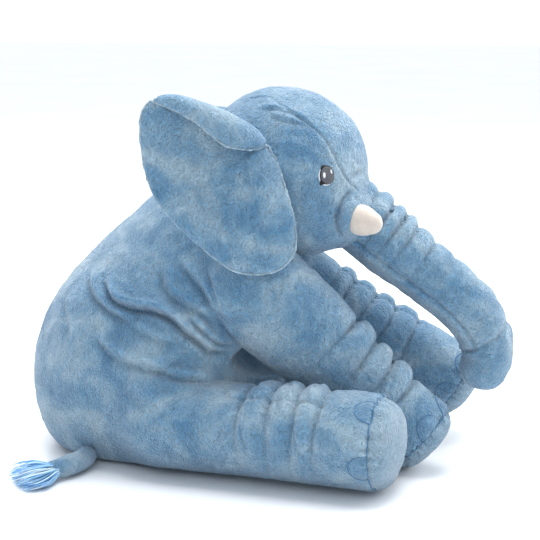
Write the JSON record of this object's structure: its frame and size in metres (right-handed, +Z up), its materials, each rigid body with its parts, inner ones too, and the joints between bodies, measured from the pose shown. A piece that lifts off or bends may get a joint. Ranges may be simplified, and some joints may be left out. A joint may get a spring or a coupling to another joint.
{
  "type": "plush sitting elephant",
  "caption": "Plush elephant sitting upright with a long curled-down trunk, large ears, short white tusks, splayed stuffed legs and a tasselled tail.",
  "frame": {"origin": "on the surface it sits on, under the middle of its bounding box", "axes": "+X the way it faces, +Y its left, +Z up"},
  "size_m": [0.5999, 0.4754, 0.4537],
  "materials": {
    "blue_plush": "matte",
    "sole_plush": "matte",
    "nail_plush": "matte",
    "tusk_plush": "matte",
    "eye_embroidery": "satin",
    "tassel_yarn": "satin",
    "fibre_filling": "matte"
  },
  "bodies": {
    "torso": {"torso_cover": "blue_plush", "torso_stuffing": "fibre_filling"},
    "front_leg_right": {"front_leg_right_cover": "blue_plush", "front_leg_right_stuffing": "fibre_filling", "front_leg_right_sole": "sole_plush", "front_leg_right_nail_1": "nail_plush", "front_leg_right_nail_2": "nail_plush", "front_leg_right_nail_3": "nail_plush"},
    "rear_leg_right": {"rear_leg_right_cover": "blue_plush", "rear_leg_right_stuffing": "fibre_filling", "rear_leg_right_sole": "sole_plush", "rear_leg_right_nail_1": "nail_plush", "rear_leg_right_nail_2": "nail_plush", "rear_leg_right_nail_3": "nail_plush"},
    "front_leg_left": {"front_leg_left_cover": "blue_plush", "front_leg_left_stuffing": "fibre_filling", "front_leg_left_sole": "sole_plush", "front_leg_left_nail_1": "nail_plush", "front_leg_left_nail_2": "nail_plush", "front_leg_left_nail_3": "nail_plush"},
    "rear_leg_left": {"rear_leg_left_cover": "blue_plush", "rear_leg_left_stuffing": "fibre_filling", "rear_leg_left_sole": "sole_plush", "rear_leg_left_nail_1": "nail_plush", "rear_leg_left_nail_2": "nail_plush", "rear_leg_left_nail_3": "nail_plush"},
    "tail": {"tail_cover": "blue_plush", "tail_stuffing": "fibre_filling", "tail_tassel": "tassel_yarn"},
    "head": {"head_cover": "blue_plush", "head_stuffing": "fibre_filling", "eye_right": "eye_embroidery", "tusk_right": "tusk_plush", "tusk_collar_right": "blue_plush", "eye_left": "eye_embroidery", "tusk_left": "tusk_plush", "tusk_collar_left": "blue_plush"},
    "ear_right": {"ear_right_cover": "blue_plush", "ear_right_padding": "fibre_filling"},
    "ear_left": {"ear_left_cover": "blue_plush", "ear_left_padding": "fibre_filling"},
    "trunk_base": {"trunk_base_cover": "blue_plush", "trunk_base_stuffing": "fibre_filling"},
    "trunk_middle": {"trunk_middle_cover": "blue_plush", "trunk_middle_stuffing": "fibre_filling"},
    "trunk_tip": {"trunk_tip_cover": "blue_plush", "trunk_tip_stuffing": "fibre_filling"}
  },
  "joints": [
    {"name": "neck_nod", "type": "hinge", "parent": "torso", "child": "head", "pos_m": [0.0196, 0, 0.352], "axis": [0, 1, 0], "range_deg": [-8, 6], "stiffness_Nm_per_rad": 1.2},
    {"name": "ear_right_flap", "type": "hinge", "parent": "head", "child": "ear_right", "pos_m": [0.0276, -0.09175, 0.363], "axis": [-0.3407, 0.0781, 0.9369], "range_deg": [-4, 18], "stiffness_Nm_per_rad": 0.12},
    {"name": "ear_left_flap", "type": "hinge", "parent": "head", "child": "ear_left", "pos_m": [0.0276, 0.09175, 0.363], "axis": [0.3407, 0.0781, -0.9369], "range_deg": [-4, 18], "stiffness_Nm_per_rad": 0.12},
    {"name": "trunk_root_bend", "type": "hinge", "parent": "head", "child": "trunk_base", "pos_m": [0.1146, 0, 0.29], "axis": [0, -1, 0], "range_deg": [-8, 14], "stiffness_Nm_per_rad": 0.6},
    {"name": "trunk_middle_bend", "type": "hinge", "parent": "trunk_base", "child": "trunk_middle", "pos_m": [0.1886, 0, 0.229], "axis": [0, -1, 0], "range_deg": [-8, 16], "stiffness_Nm_per_rad": 0.3},
    {"name": "trunk_tip_bend", "type": "hinge", "parent": "trunk_middle", "child": "trunk_tip", "pos_m": [0.2656, 0, 0.171], "axis": [0, -1, 0], "range_deg": [-10, 20], "stiffness_Nm_per_rad": 0.15},
    {"name": "front_leg_right_lift", "type": "hinge", "parent": "torso", "child": "front_leg_right", "pos_m": [0.0066, -0.088, 0.212], "axis": [0, -1, 0], "range_deg": [0, 24], "stiffness_Nm_per_rad": 0.4},
    {"name": "front_leg_left_lift", "type": "hinge", "parent": "torso", "child": "front_leg_left", "pos_m": [0.0266, 0.088, 0.197], "axis": [0, -1, 0], "range_deg": [0, 14], "stiffness_Nm_per_rad": 0.4},
    {"name": "rear_leg_right_splay", "type": "hinge", "parent": "torso", "child": "rear_leg_right", "pos_m": [-0.1014, -0.121, 0.0586], "axis": [0, 0, -1], "range_deg": [0, 16], "stiffness_Nm_per_rad": 0.35},
    {"name": "rear_leg_left_splay", "type": "hinge", "parent": "torso", "child": "rear_leg_left", "pos_m": [-0.1014, 0.121, 0.0586], "axis": [0, 0, 1], "range_deg": [0, 16], "stiffness_Nm_per_rad": 0.35},
    {"name": "tail_swing", "type": "hinge", "parent": "torso", "child": "tail", "pos_m": [-0.2274, -0.084, 0.016], "axis": [0, 0, -1], "range_deg": [0, 20], "stiffness_Nm_per_rad": 0.02}
  ]
}
